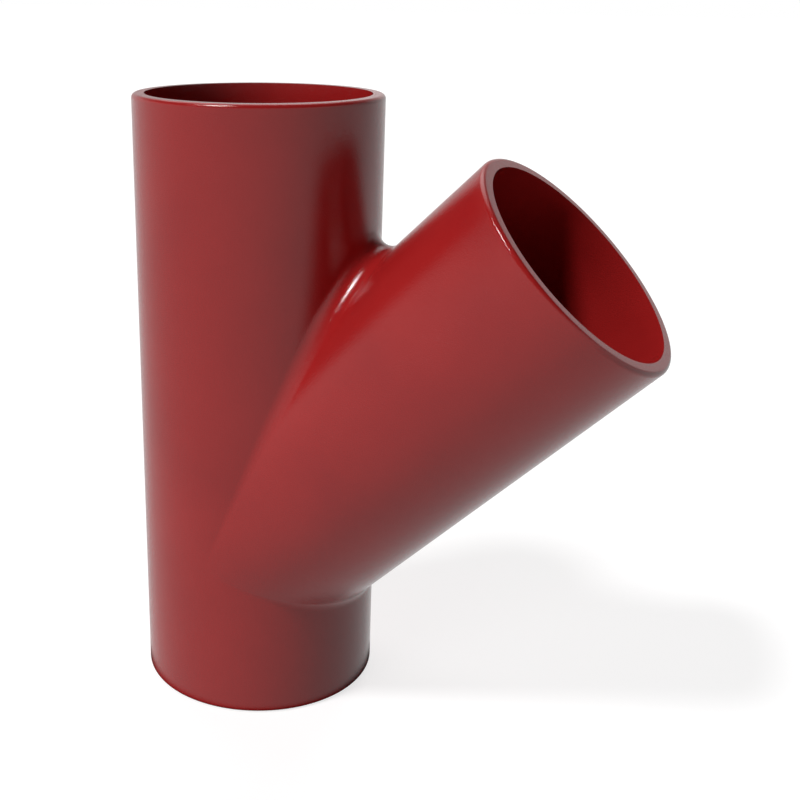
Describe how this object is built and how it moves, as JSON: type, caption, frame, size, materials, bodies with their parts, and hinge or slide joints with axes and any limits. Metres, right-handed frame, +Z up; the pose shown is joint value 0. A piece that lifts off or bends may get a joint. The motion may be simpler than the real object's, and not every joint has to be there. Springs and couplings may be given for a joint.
{
  "type": "lateral wye fitting",
  "caption": "One-piece lateral wye for drainage: a plain-ended pipe branch leaves the straight run at 45 degrees, blended at the junction, under a red coat.",
  "frame": {"origin": "centre of the run's lower end face", "axes": "+Z up along the run, the branch leaves towards +X and up in the XZ plane, +Y completes the right-handed frame and is the plane of symmetry's normal"},
  "size_m": [0.238, 0.11, 0.275],
  "materials": {
    "red_coat": "satin red epoxy coat on cast iron, inside and out"
  },
  "bodies": {
    "root": {"wye_body": "red_coat"}
  },
  "joints": []
}
